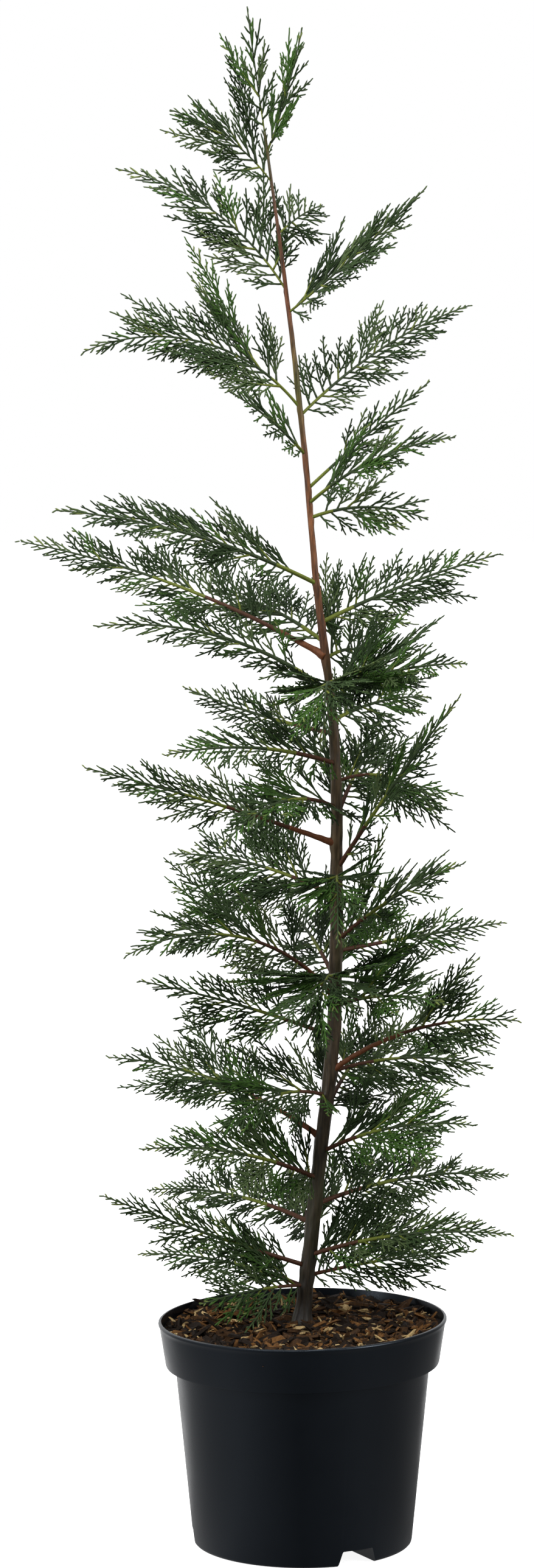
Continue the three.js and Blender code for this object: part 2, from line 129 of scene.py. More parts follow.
# Limbs: name, height on the trunk, heading, rise, bend, reach, spread, roll, bare bough, gap to first spray
LIMBS = [
    ("top_1", 1158, -40, 64, 12, 110, 53, 70, 0, 8),
    ("left_1", 1134, 204, 51, -38, 112, 64, 124, 0, 6),
    ("right_1", 1092, 62, 25, -16, 84, 52, 54, 0, 6),
    ("left_2", 1046, 160, 57, -48, 190, 52, 124, 0, 6),
    ("right_2", 1028, -38, 33, 6, 176, 60, 54, 0, 4),
    ("left_3", 950, 199, 51, -76, 212, 76, 114, 0, 24),
    ("right_3", 944, 40, 37, -24, 214, 53, 54, 0, 8),
    ("back_1", 758, 126, 22, -22, 176, 56, 142, 0, 6),
    ("front_2", 912, 236, 34, -16, 127, 38, 122, 0, 6),
    ("right_19", 884, 14, 42, -4, 140, 27, 60, 0, 36),
    ("right_4", 872, -42, 35, -30, 173, 42, 54, 0, 16),
    ("right_16", 860, -12, 22, -46, 104, 54, 80, 0, 8),
    ("left_4", 806, 212, 25, -20, 264, 54, 124, 0, 24),
    ("front_1", 716, 266, 34, -110, 130, 84, 8, 0, 6),
    ("right_5", 774, 26, 23, -12, 182, 58, 64, 0, 3),
    ("back_2", 744, 62, 16, -56, 128, 66, 60, 0, 6),
    ("left_5", 746, 158, 27, -19, 300, 52, 114, 44, 6),
    ("left_19", 716, 178, 38, -46, 212, 25, 114, 0, 30),
    ("right_6", 717, -52, 19, -16, 184, 60, 54, 0, 5),
    ("right_7", 693, 54, 14, -22, 150, 68, 54, 0, 6),
    ("left_7", 657, 228, 17, -22, 215, 56, 124, 0, 6),
    ("left_6", 682, 134, 4, 9, 190, 19, 124, 0, 6),
    ("right_8", 642, 12, 22, -82, 106, 70, 64, 0, 6),
    ("left_16", 620, 236, 22, -58, 185, 58, 150, 0, 6),
    ("back_3", 612, 76, 28, -28, 206, 57, 40, 0, 6),
    ("left_8", 590, 202, 21, -6, 240, 43, 114, 44, 6),
    ("front_3", 568, 318, 52, -6, 208, 40, 62, 0, 18),
    ("left_9", 545, 142, 20, -26, 186, 84, 124, 0, 28),
    ("front_4", 558, 270, 30, -110, 124, 62, 10, 0, 6),
    ("right_9", 508, -46, 37, -18, 172, 62, 54, 0, 6),
    ("right_10", 500, 38, 4, -3, 191, 38, 54, 0, 6),
    ("left_17", 474, 260, 32, -112, 130, 108, 8, 0, 6),
    ("back_4", 474, 104, 24, -26, 206, 57, 138, 0, 6),
    ("left_10", 460, 210, 51, -76, 226, 71, 124, 42, 6),
    ("right_11", 398, 22, 14, -34, 156, 74, 54, 0, 6),
    ("front_5", 454, 306, 19, -24, 160, 62, 50, 0, 6),
    ("right_12", 398, -22, 38, -42, 184, 66, 64, 72, 6),
    ("left_18", 378, 220, 20, -60, 130, 76, 140, 0, 6),
    ("left_20", 428, 188, 22, -10, 176, 60, 114, 0, 40),
    ("back_5", 366, 74, 22, -26, 206, 55, 42, 0, 6),
    ("left_11", 342, 156, 32, -34, 215, 60, 114, 52, 6),
    ("right_13", 330, -41, 28, -28, 178, 74, 54, 0, 6),
    ("left_12", 308, 226, 25, -22, 220, 67, 124, 0, 6),
    ("right_14", 286, 40, 11, -24, 227, 54, 54, 0, 6),
    ("left_13", 270, 132, 11, -24, 219, 40, 124, 0, 8),
    ("back_6", 258, 96, 18, -22, 186, 50, 140, 0, 6),
    ("right_15", 243, -32, 22, -22, 204, 58, 54, 0, 6),
    ("right_18", 226, 10, 12, -12, 150, 60, 54, 0, 6),
    ("left_14", 234, 204, 20, 4, 205, 26, 114, 0, 18),
    ("front_6", 218, 222, 7, -14, 122, 56, 124, 0, 8),
    ("left_15", 216, 144, 13, -22, 181, 25, 124, 0, 20),
]
LEADER = ("leader", TRUNK["tip"], 180, 81, 2, 105, 40, 84, 0, 4)
# The leader's sprays turn about it one after another, and stand closer to it
LEADER_TURN = -42
LEADER_ANGLE = 0.95

# Shares of sprays in each green, from deep to young, and on the limbs that come forward, as painted light
TONES = [0.32, 0.41, 0.09, 0.18, 0]
# On forward limbs, fewer deep and more fresh greens are painted light, for the full light they stand in
PAINTED_LIGHT_FRONT_TONES = [0.22, 0.32, 0.36, 0.10, 0]
FRONT_HEADING = -0.62  # a limb comes forward where its way towards +Y is less
# The green that each one turns to at a limb's tip, and on some of the shoots at a spray's tip
TIP_TONES = np.array([3, 3, 4, 4, 4])
YOUNG_FROM = 0.84  # share of a limb beyond which its sprays are young
LIGHTER = dict(beyond=0.72, share=0.5)

MOST_TRIANGLES = 150000  # in one piece of foliage
SEED = 7

POT_SIDES = 144
POT_CREASE = 38  # angle above which an edge of the pot stays sharp
BED = dict(sides=120, rings=34, inmost=3)
# Heaps and clods of the mulch: height, size and seed
MULCH_RELIEF = [(1.1, 26, 21), (0.7, 9, 22)]
# Bark chips: where they lie, how sizes vary as shares of the usual, how they lie and how ragged they are
CHIP = dict(
    strewn=113, bare_middle=0.006, outermost=115, overhang=0.42, length_spread=0.4, lengths=[0.35, 2.4],
    width_spread=0.35, widths=[0.4, 2.2], depths=[0.6, 1.4], lifts=[-0.8, 2.6], pitch=19, bank=28,
    ragged=0.13, bow=0.25, top_share=0.86, seed=31,
)
CHIP_OUTLINE = [(-0.5, -0.25), (-0.2, -0.5), (0.3, -0.42), (0.5, 0.12), (0.22, 0.5), (-0.32, 0.4)]
# Count, usual length, width and thickness, and the shares of each tint
CHIP_KINDS = [
    (520, 17, 6, 2.4, [0.46, 0.32, 0.18, 0.04]),
    (1100, 11, 3.2, 1.6, [0.46, 0.30, 0.18, 0.06]),
    (620, 16, 1.6, 1.1, [0.22, 0.24, 0.26, 0.28]),
]

# The photographed view, with places in metres
CAMERA_PLACE = (-0.030, -4.0, 1.08)
CAMERA_DOWN = 6.28
FOCAL_PIXELS = 7992
IMAGE_HEIGHT = 2576
SENSOR = 36


# Helpers

def linear(hex_colour):
    """Linear RGBA of an sRGB hex colour."""
    parts = [int(hex_colour[i:i + 2], 16) / 255 for i in (1, 3, 5)]
    return [c / 12.92 if c <= 0.04045 else ((c + 0.055) / 1.055) ** 2.4 for c in parts] + [1]


def add_node(tree, kind, inputs=None, **settings):
    """Adds a node, with its settings, its input values and the outputs that feed its inputs."""
    node = tree.nodes.new(kind)
    for name, value in settings.items():
        setattr(node, name, value)
    for name, value in (inputs or {}).items():
        if isinstance(value, bpy.types.NodeSocket):
            tree.links.new(value, node.inputs[name])
        else:
            node.inputs[name].default_value = value
    return node


def new_finish(name):
    """A new material, its empty node tree, and the place on the piece, which its patterns follow."""
    material = bpy.data.materials.new(name)
    material.use_nodes = True
    tree = material.node_tree
    tree.nodes.clear()
    return material, tree, add_node(tree, "ShaderNodeTexCoord").outputs["Object"]


def per_mm(size):
    """The texture scale, in metres, of a pattern whose marks are this many millimetres across."""
    return 1 / (size * MM)


def unit(vectors):
    return vectors / np.linalg.norm(vectors, axis=-1, keepdims=True)


def ripple(places, seed, waves=24):
    """Smooth noise of about unit height over an array of places, whose marks are about one unit across."""
    pace = 2.2
    draw = np.random.default_rng(seed)
    total = np.zeros(places.shape[:-1])
    for _ in range(waves):
        total += np.sin(places @ draw.normal(0, pace, places.shape[-1]) + draw.uniform(0, 2 * math.pi))
    return total / math.sqrt(waves / 2)


def new_piece(name, places, faces, finishes, finish_of_face=None, smooth=True):
    """A mesh object from arrays: places in millimetres and faces of the same number of corners each."""
    faces = np.asarray(faces)
    mesh = bpy.data.meshes.new(name)
    mesh.vertices.add(len(places))
    mesh.vertices.foreach_set("co", (np.asarray(places) * MM).astype(np.float32).ravel())
    mesh.loops.add(faces.size)
    mesh.loops.foreach_set("vertex_index", faces.astype(np.int32).ravel())
    mesh.polygons.add(len(faces))
    mesh.polygons.foreach_set("loop_start", np.arange(0, faces.size, faces.shape[1], dtype=np.int32))
    mesh.polygons.foreach_set("use_smooth", np.full(len(faces), smooth))
    for finish in finishes:
        mesh.materials.append(finish)
    if finish_of_face is not None:
        mesh.polygons.foreach_set("material_index", np.asarray(finish_of_face, dtype=np.int32))
    mesh.update(calc_edges=True)
    piece = bpy.data.objects.new(name, mesh)
    bpy.context.scene.collection.objects.link(piece)
    return piece


def seat(piece, slot, *nodes):
    """Rides the piece on the part and hides the solids that it stands for; slot is not used."""
    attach(piece, "root")
    if nodes:
        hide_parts(*nodes)


# Finishes

def scale_leaf(name, shade, light):
    """Living scale leaves pressed to the shoot: waxy, with a soft sheen and a colour that wavers."""
    finish, tree, place = new_finish(name)
    waver = add_node(tree, "ShaderNodeTexNoise", {
        "Vector": place, "Scale": per_mm(9), "Detail": 2.0,
    })
    colour = add_node(tree, "ShaderNodeMix", {
        "Factor": waver.outputs["Fac"], "A": linear(shade), "B": linear(light),
    }, data_type="RGBA")
    # Leaf tips are 0.5 mm across, drawn here at 1.1 mm so that they show
    tips = add_node(tree, "ShaderNodeTexVoronoi", {"Vector": place, "Scale": per_mm(1.1)})
    relief = add_node(tree, "ShaderNodeBump", {
        "Height": tips.outputs["Distance"], "Strength": 0.35, "Distance": 0.4 * MM,
    })
    surface = add_node(tree, "ShaderNodeBsdfPrincipled", {
        "Base Color": colour.outputs["Result"], "Normal": relief.outputs["Normal"],
        "Roughness": 0.55, "IOR": 1.42, "Specular IOR Level": 0.12,
    })
    add_node(tree, "ShaderNodeOutputMaterial", {"Surface": surface.outputs["BSDF"]})
    return finish


def stem_bark(name, shade, light, grain):
    """Young bark on stems: thin and smooth, with fine grain along it and a dull shine."""
    finish, tree, place = new_finish(name)
    streaks = add_node(tree, "ShaderNodeTexNoise", {
        "Vector": place, "Scale": per_mm(grain), "Detail": 4.0,
    })
    colour = add_node(tree, "ShaderNodeMix", {
        "Factor": streaks.outputs["Fac"], "A": linear(shade), "B": linear(light),
    }, data_type="RGBA")
    relief = add_node(tree, "ShaderNodeBump", {
        "Height": streaks.outputs["Fac"], "Strength": 0.4, "Distance": 0.3 * MM,
    })
    surface = add_node(tree, "ShaderNodeBsdfPrincipled", {
        "Base Color": colour.outputs["Result"], "Normal": relief.outputs["Normal"],
        "Roughness": 0.6, "IOR": 1.45, "Specular IOR Level": 0.3,
    })
    add_node(tree, "ShaderNodeOutputMaterial", {"Surface": surface.outputs["BSDF"]})
    return finish


def trunk_bark():
    """Thin cypress bark: dark, flaky near the ground, olive with green film, red-brown when young; with
    painted shade.
    """
    finish, tree, place = new_finish("cypress_bark")
    axes = add_node(tree, "ShaderNodeSeparateXYZ", {"Vector": place})
    height = add_node(tree, "ShaderNodeMapRange", {
        "Value": axes.outputs["Z"], "From Min": GROUND * MM, "From Max": TRUNK["tip"] * MM,
    })
    by_height = add_node(tree, "ShaderNodeValToRGB", {"Fac": height.outputs["Result"]})
    ramp = by_height.color_ramp
    # The dark dip at 0.52 is painted shade from the crown above it.
    # Tints by height. From 0.10 up to 0.44 the bark is darker, partly its own colour and partly painted
    # shade.
    tints = [
        (0, "#241e16"), (0.10, "#332a1f"), (0.44, "#4f412c"), (0.52, "#40301d"), (0.58, "#5e3b25"),
        (0.66, "#744a2d"), (0.74, "#74492d"), (0.79, "#5f5a2a"), (0.85, "#6b412b"), (0.94, "#5a3a26"),
        (1, "#4c4a28"),
    ]
    while len(ramp.elements) < len(tints):
        ramp.elements.new(0.5)
    for element, (position, tint) in zip(ramp.elements, tints):
        element.position = position
        element.color = linear(tint)
    # Flakes and furrows run up the stem: 2.5 mm wide and about 8 times as long
    stretched = add_node(tree, "ShaderNodeMapping", {"Vector": place, "Scale": (1, 1, 0.12)})
    flakes = add_node(tree, "ShaderNodeTexNoise", {
        "Vector": stretched.outputs["Vector"], "Scale": per_mm(2.5), "Detail": 5.0, "Roughness": 0.6,
    })
    furrow = add_node(tree, "ShaderNodeMapRange", {
        "Value": flakes.outputs["Fac"], "From Min": 0.35, "From Max": 0.68, "To Min": 0.42, "To Max": 1.9,
    })
    shaded = add_node(tree, "ShaderNodeVectorMath", {
        0: by_height.outputs["Color"], "Scale": furrow.outputs["Result"],
    }, operation="SCALE")
    # Green film in patches about 14 mm across, drawn out up the stem
    film = add_node(tree, "ShaderNodeTexNoise", {
        "Vector": stretched.outputs["Vector"], "Scale": per_mm(14), "Detail": 3.0,
    })
    film_here = add_node(tree, "ShaderNodeMapRange", {
        "Value": film.outputs["Fac"], "From Min": 0.5, "From Max": 0.64, "To Max": 0.5,
    })
    colour = add_node(tree, "ShaderNodeMix", {
        "Factor": film_here.outputs["Result"], "A": shaded.outputs["Vector"], "B": linear("#3c3f25"),
    }, data_type="RGBA")
    relief = add_node(tree, "ShaderNodeBump", {
        "Height": flakes.outputs["Fac"], "Strength": 0.7, "Distance": 0.8 * MM,
    })
    surface = add_node(tree, "ShaderNodeBsdfPrincipled", {
        "Base Color": colour.outputs["Result"], "Normal": relief.outputs["Normal"],
        "Roughness": 0.46, "IOR": 1.45, "Specular IOR Level": 0.5,
    })
    add_node(tree, "ShaderNodeOutputMaterial", {"Surface": surface.outputs["BSDF"]})
    return finish


def moulded_polypropylene():
    """Moulded recycled polypropylene: blue-black and satin, hazed by handling, bright only at a slant."""
    finish, tree, place = new_finish("moulded_polypropylene")
    haze = add_node(tree, "ShaderNodeTexNoise", {
        "Vector": place, "Scale": per_mm(38), "Detail": 4.0, "Roughness": 0.6,
    })
    # The mould's own grit is 0.2 mm, drawn at 0.9 mm so that it shows
    grit = add_node(tree, "ShaderNodeTexNoise", {
        "Vector": place, "Scale": per_mm(0.9), "Detail": 2.0,
    })
    colour = add_node(tree, "ShaderNodeMix", {
        "Factor": haze.outputs["Fac"], "A": linear("#04070b"), "B": linear("#090d13"),
    }, data_type="RGBA")
    gloss = add_node(tree, "ShaderNodeMapRange", {
        "Value": haze.outputs["Fac"], "From Min": 0.3, "From Max": 0.7, "To Min": 0.22, "To Max": 0.32,
    })
    relief = add_node(tree, "ShaderNodeBump", {
        "Height": grit.outputs["Fac"], "Strength": 0.12, "Distance": 0.15 * MM,
    })
    surface = add_node(tree, "ShaderNodeBsdfPrincipled", {
        "Base Color": colour.outputs["Result"], "Roughness": gloss.outputs["Result"],
        "Normal": relief.outputs["Normal"], "IOR": 1.49, "Specular IOR Level": 0.5,
        "Specular Tint": linear("#dcecff"),
    })
    add_node(tree, "ShaderNodeOutputMaterial", {"Surface": surface.outputs["BSDF"]})
    return finish


def shredded_bark(name, shade, light, grain=2.2):
    """Composted conifer bark: matt and fibrous, each chip streaked along its grain."""
    finish, tree, place = new_finish(name)
    fibres = add_node(tree, "ShaderNodeTexNoise", {
        "Vector": place, "Scale": per_mm(grain), "Detail": 5.0, "Roughness": 0.65,
    })
    spread = add_node(tree, "ShaderNodeMapRange", {
        "Value": fibres.outputs["Fac"], "From Min": 0.32, "From Max": 0.68,
    })
    colour = add_node(tree, "ShaderNodeMix", {
        "Factor": spread.outputs["Result"], "A": linear(shade), "B": linear(light),
    }, data_type="RGBA")
    relief = add_node(tree, "ShaderNodeBump", {
        "Height": fibres.outputs["Fac"], "Strength": 0.8, "Distance": 0.8 * MM,
    })
    surface = add_node(tree, "ShaderNodeBsdfPrincipled", {
        "Base Color": colour.outputs["Result"], "Normal": relief.outputs["Normal"],
        "Roughness": 0.85, "IOR": 1.45, "Specular IOR Level": 0.25,
    })
    add_node(tree, "ShaderNodeOutputMaterial", {"Surface": surface.outputs["BSDF"]})
    return finish


GREENS = [
    scale_leaf("scale_leaf_deep_green", "#1f2e18", "#2f4023"),
    scale_leaf("scale_leaf_dull_green", "#2f4124", "#435635"),
    scale_leaf("scale_leaf_fresh_green", "#2f4d1e", "#49682e"),
    scale_leaf("scale_leaf_olive_green", "#435433", "#596a42"),
    scale_leaf("scale_leaf_young_tip", "#5e6d38", "#7a864d"),
]
RED_BARK = stem_bark("young_red_bark", "#3c2316", "#613d29", 3)
YELLOW_STEM = stem_bark("young_yellow_green_stem", "#545f20", "#7c8632", 5)
GREEN_STEM = stem_bark("green_shoot_stem", "#283820", "#3d4c2b", 4)
CYPRESS_BARK = trunk_bark()
BOUGH_BARK = stem_bark("thin_bough_bark", "#4a2815", "#8a5433", 2.2)
POLYPROPYLENE = moulded_polypropylene()
PEAT = shredded_bark("dark_compost", "#0a0704", "#20160d", 4)
CHIP_BARKS = [
    shredded_bark("wet_bark_chip", "#0e0905", "#25190f"),
    shredded_bark("brown_bark_chip", "#2b1b0d", "#50371f"),
    shredded_bark("rust_bark_chip", "#4f3116", "#825c32"),
    shredded_bark("split_wood_chip", "#947748", "#d0b685"),
]


# The trunk's and the limbs' lines

def trunk_points(heights):
    """Places on the leader's centreline: a smooth curve through its sway and depth at even heights."""
    heights = np.asarray(heights, dtype=float)
    marks = np.stack([TRUNK["sway"], TRUNK["depth"]], axis=1).astype(float)
    marks = np.concatenate([[2 * marks[0] - marks[1]], marks, [2 * marks[-1] - marks[-2]]])
    steps = len(marks) - 3
    share = np.clip((heights - GROUND) / (TRUNK["tip"] - GROUND), 0, 1) * steps
    step = np.minimum(share.astype(int), steps - 1)
    u = (share - step)[..., None]
    before, here, after, beyond = (marks[step + k] for k in range(4))
    leave = 0.5 * (after - before)
    arrive = 0.5 * (beyond - here)
    bend = (2 * here - 2 * after + leave + arrive) * u ** 3
    level = here + leave * u + (-3 * here + 3 * after - 2 * leave - arrive) * u ** 2 + bend
    return np.concatenate([level, heights[..., None]], axis=-1)


def trunk_radius(heights):
    heights = np.asarray(heights, dtype=float)
    girth = np.interp(heights, TRUNK["girth_heights"], TRUNK["girth_radii"])
    return girth + TRUNK["flare"] * np.exp((GROUND - np.maximum(heights, GROUND)) / TRUNK["flare_height"])


class Limb:
    """One limb, as a line that rises in the upright plane of its heading and bends over towards its tip."""

    def __init__(self, row):
        self.name, self.height, heading, rise, bend, *fan = row
        self.reach, self.spread, roll, self.bare, self.first = fan
        self.rise = math.radians(rise)
        self.bend = math.radians(bend)
        self.roll = math.radians(roll)
        turn = math.radians(heading)
        self.ahead = np.array([math.cos(turn), math.sin(turn), 0])
        self.level = np.array([-math.sin(turn), math.cos(turn), 0])
        self.root = trunk_points(self.height)
        self.is_leader = row is LEADER
        self.start = (self.bare + GAP) / self.reach if self.bare or self.is_leader else 0

    def points(self, t):
        slope = self.rise + self.bend * t
        run = self.reach / self.bend * (np.sin(slope) - math.sin(self.rise))
        lift = self.reach / self.bend * (math.cos(self.rise) - np.cos(slope))
        return self.root + run[:, None] * self.ahead + lift[:, None] * np.array([0, 0, 1])

    def axes(self, t):
        """The way on along the limb, its level side and its upright side, at each share of its line."""
        slope = self.rise + self.bend * t
        on = np.cos(slope)[:, None] * self.ahead + np.sin(slope)[:, None] * np.array([0, 0, 1])
        level = np.broadcast_to(self.level, on.shape)
        return on, level, np.cross(on, level)

    def root_radius(self):
        thick = BOUGH["radius"] + BOUGH["radius_per_reach"] * self.reach
        return min(thick, BOUGH["trunk_share"] * float(trunk_radius(self.height)))


# Growing. A batch of shoots is a dictionary of arrays: where each is rooted, its way, the side that its own
# shoots take, the way that it curls to, its length, its share of curl, its limb's number, its tone of green
# and how near it is to a tip.

def share_of_spread(along):
    """How long side sprays are along a leafy stem: most near its start, least at its tip."""
    swell = np.minimum(1, SPREAD["start"] + SPREAD["rise"] * along)
    return SPREAD["most"] * swell * (1 - along) ** SPREAD["fall"]


def places_along(shoots, which, far):
    """Places on chosen shoots at distances along them, and the way on there."""
    length = shoots["length"][which]
    curl = shoots["curl"] * far / length
    place = shoots["root"][which] + shoots["way"][which] * far[:, None]
    place = place + shoots["lean"][which] * (curl * far)[:, None]
    return place, unit(shoots["way"][which] + 2 * shoots["lean"][which] * curl[:, None])


def picked(shoots, keep):
    """The chosen shoots of a batch."""
    return {key: value[keep] if isinstance(value, np.ndarray) else value for key, value in shoots.items()}


def is_free(shoots):
    """Which shoots keep off the trunk, the mulch and the rim, and in reach, at their middle and tip."""
    least, most = np.array(cad_box) / MM
    free = np.ones(len(shoots["length"]), dtype=bool)
    every = np.arange(len(free))
    for share in (0.5, 1.0):
        place, _ = places_along(shoots, every, share * shoots["length"])
        apart = np.linalg.norm(place[:, :2] - trunk_points(place[:, 2])[:, :2], axis=1)
        inside = (apart < trunk_radius(place[:, 2]) + CLEAR["trunk"]) & (place[:, 2] < TRUNK["tip"])
        from_middle = np.linalg.norm(place[:, :2], axis=1)
        over_mulch = from_middle < CLEAR["mulch_radius"]
        floor_here = np.where(over_mulch, GROUND + CLEAR["mulch"], POT["height"] + CLEAR["rim"])
        low = (place[:, 2] < floor_here) & (from_middle < POT["rim_radius"] * CLEAR["rim_share"])
        in_reach = np.all((place > least - REACH_SPARE) & (place < most + REACH_SPARE), axis=1)
        free &= in_reach & ~(inside | low)
    return free


def grow_sprays(limb, number, draw):
    """The side sprays of one limb, in the plane of its fan, on alternate sides."""
    leafy = limb.reach * (1 - limb.start) - limb.first - SPRAY["bare_tip"]
    pitch = LIT["pitch"] if limb.ahead[1] < LIT["heading"] else SPRAY["pitch"]
    count = int(leafy / (pitch * np.interp(limb.height, OLD["heights"], OLD["shares"])))
    order = np.arange(count)
    share = (order + SPRAY["jitter"] * draw.random(count)) / count
    t = limb.start + (limb.first + share * leafy) / limb.reach
    along = (t - limb.start) / (1 - limb.start)
    either = draw.uniform(-1, 1, (3, count))
    roll = limb.roll + np.radians(SPRAY["tilt"] * either[0])
    if limb.is_leader:
        roll = roll + math.radians(LEADER_TURN) * order
    angle = np.interp(along, SPRAY["angles_at"], SPRAY["angles"]) * (LEADER_ANGLE if limb.is_leader else 1)
    leads = draw.random(count) < SPRAY["leading"]
    angle = np.radians(angle + SPRAY["angle_spread"] * either[1] + SPRAY["leading_angle"] * leads)
    vigour = np.where(leads, SPRAY["leading_share"], SPRAY["lesser_share"])
    length = limb.spread * share_of_spread(along) * vigour
    left = np.minimum(limb.reach * (1 - t), SPRAY["tip_reach"])
    length = np.maximum(length, SPRAY["tip_share"] * left)
    on, level, upright = limb.axes(t)
    side = np.where(order % 2, 1, -1)[:, None]
    out = side * (level * np.cos(roll)[:, None] + upright * np.sin(roll)[:, None])
    lit_under = np.minimum(1, SPRAY["under"] + SPRAY["under_rise"] * along)
    shaded = np.maximum(0, -out[:, 2]) * (1 - lit_under)
    length = length * (1 - shaded) * (1 + SPRAY["length_spread"] * either[2])
    length = np.maximum(length, SPRAY["shortest"])
    way = on * np.cos(angle)[:, None] + out * np.sin(angle)[:, None]
    across = out * np.cos(angle)[:, None] - on * np.sin(angle)[:, None]
    # Limbs that come forward get a fresher, less deep mix of greens as painted light
    shares = PAINTED_LIGHT_FRONT_TONES if limb.ahead[1] < FRONT_HEADING else TONES
    tone = draw.choice(len(GREENS), count, p=shares)
    tone = np.where(along > YOUNG_FROM, TIP_TONES[tone], tone)
    return dict(
        root=limb.points(t), way=way, across=across, lean=on, length=length, curl=SPRAY["curl"],
        limb=np.full(count, number), tone=tone, tip=np.zeros(count),
    )


def grow_side_shoots(parents, rule, draw):
    """Shoots on alternate sides of each parent, leaning forward in its plane, shorter towards its tip."""
    leafy = parents["length"] - rule["first"] - SIDE_SHOOT["bare_tip"]
    count = np.maximum(0, (leafy / rule["pitch"]).astype(int))
    which = np.repeat(np.arange(len(count)), count)
    order = np.arange(len(which)) - np.repeat(np.cumsum(count) - count, count)
    far = rule["first"] + (order + SIDE_SHOOT["jitter"] * draw.random(len(which))) * rule["pitch"]
    # Four rows are drawn and three used, which keeps the order of draws that the crown was matched with
    either = draw.uniform(-1, 1, (4, len(which)))
    tilt = np.radians(rule["tilt"] * either[0])[:, None]
    angle = np.radians(rule["angle"] + rule["angle_spread"] * either[1])[:, None]
    left = parents["length"][which] - far
    along = far / parents["length"][which]
    swell = np.minimum(1, SIDE_SHOOT["start"] + SIDE_SHOOT["rise"] * along)
    length = np.minimum(rule["longest"], rule["share"] * left) * swell
    length = np.maximum(length * (1 + SIDE_SHOOT["length_spread"] * either[2]), rule["shortest"])
    root, on = places_along(parents, which, far)
    face = np.cross(parents["way"][which], parents["across"][which])
    side = np.where(order % 2, 1, -1)[:, None]
    out = side * (parents["across"][which] * np.cos(tilt) + face * np.sin(tilt))
    out = unit(out - on * np.sum(out * on, axis=1, keepdims=True))
    way = on * np.cos(angle) + out * np.sin(angle)
    across = out * np.cos(angle) - on * np.sin(angle)
    tip = np.maximum(parents["tip"][which], along)
    return dict(
        root=root, way=way, across=across, lean=on, length=length, curl=rule["curl"],
        limb=parents["limb"][which], tone=parents["tone"][which], tip=tip,
    )


def leafy_shoots(shoots, rule):
    """Meshes of shoots clad in scale leaves, as places, triangles, and each triangle's limb and tone.

    They are three-sided rods with every other ring turned, so that the edge is toothed as leaf tips make it.
    """
    places, faces, limbs, tones = [], [], [], []
    base = 0
    pieces = np.round(shoots["length"] / rule["step"]).astype(int)
    pieces = np.clip(pieces, LEAFY["fewest"], LEAFY["most"])
    for rings in np.unique(pieces):
        batch = np.flatnonzero(pieces == rings)
        every = len(batch)
        here = picked(shoots, batch)
        face = np.cross(here["way"], here["across"])
        corners = np.empty((every, rings * 3 + 1, 3))
        for ring in range(rings):
            share = ring / (rings - LEAFY["last"])
            middle, _ = places_along(here, np.arange(every), share * here["length"])
            thick = rule["radius"] * (1 - LEAFY["taper"] * share ** 2) * (LEAFY["foot"] if ring == 0 else 1)
            for corner in range(3):
                turn = math.radians(120 * corner + 60 * (ring % 2) + LEAFY["turn"])
                aside = here["across"] * (thick * math.cos(turn))
                above = face * (LEAFY["flat"] * thick * math.sin(turn))
                corners[:, ring * 3 + corner] = middle + aside + above
        corners[:, -1], _ = places_along(here, np.arange(every), here["length"])
        rod = []
        for ring in range(rings - 1):
            low, high = 3 * ring, 3 * ring + 3
            for k in range(3):
                ahead = (k + 1) % 3
                if ring % 2 == 0:
                    rod += [(low + k, low + ahead, high + k), (low + ahead, high + ahead, high + k)]
                else:
                    rod += [(low + k, high + ahead, high + k), (low + k, low + ahead, high + ahead)]
        last = 3 * rings - 3
        rod += [(last + k, last + (k + 1) % 3, 3 * rings) for k in range(3)]
        rod = np.array(rod)
        starts = base + np.arange(every) * (rings * 3 + 1)
        faces.append((rod[None] + starts[:, None, None]).reshape(-1, 3))
        places.append(corners.reshape(-1, 3))
        limbs.append(np.repeat(here["limb"], len(rod)))
        tones.append(np.repeat(here["tone"], len(rod)))
        base += every * (rings * 3 + 1)
    return np.concatenate(places), np.concatenate(faces), np.concatenate(limbs), np.concatenate(tones)


BACKWARD = [1, 0, 2]  # order of a triangle's corners that makes it face the other way


def bands(rings, sides):
    """Triangles between each ring of corners and the next, two to a side."""
    k = np.arange(sides)
    ahead = (k + 1) % sides
    faces = []
    for ring in range(rings - 1):
        low, high = ring * sides, (ring + 1) * sides
        faces.append(np.stack([low + k, low + ahead, high + ahead], axis=1))
        faces.append(np.stack([low + k, high + ahead, high + k], axis=1))
    return faces


def lid(first, sides, middle):
    """Triangles from a ring of corners to its middle, facing on along the rod."""
    k = np.arange(sides)
    return np.stack([first + k, first + (k + 1) % sides, np.full(sides, middle)], axis=1)


def rod_mesh(middles, radii, sides, aside, upright):
    """A round rod through rings of given middles and radii, closed at both ends, as places and triangles."""
    turns = np.arange(sides) * 2 * math.pi / sides
    ring = np.cos(turns)[None, :, None] * aside[:, None] + np.sin(turns)[None, :, None] * upright[:, None]
    radii = np.asarray(radii)
    if radii.ndim == 1:
        radii = np.repeat(radii[:, None], sides, axis=1)
    places = (middles[:, None] + ring * radii[:, :, None]).reshape(-1, 3)
    rings = len(middles)
    faces = bands(rings, sides)
    faces.append(lid(0, sides, rings * sides)[:, BACKWARD])
    faces.append(lid((rings - 1) * sides, sides, rings * sides + 1))
    places = np.concatenate([places, middles[:1], middles[-1:]])
    return places, np.concatenate(faces)


def join(parts):
    """Joins (places, faces, finish numbers) of several rods into one."""
    places, faces, finishes = [], [], []
    base = 0
    for part_places, part_faces, part_finish in parts:
        places.append(part_places)
        faces.append(part_faces + base)
        finishes.append(np.broadcast_to(part_finish, len(part_faces)))
        base += len(part_places)
    return np.concatenate(places), np.concatenate(faces), np.concatenate(finishes)


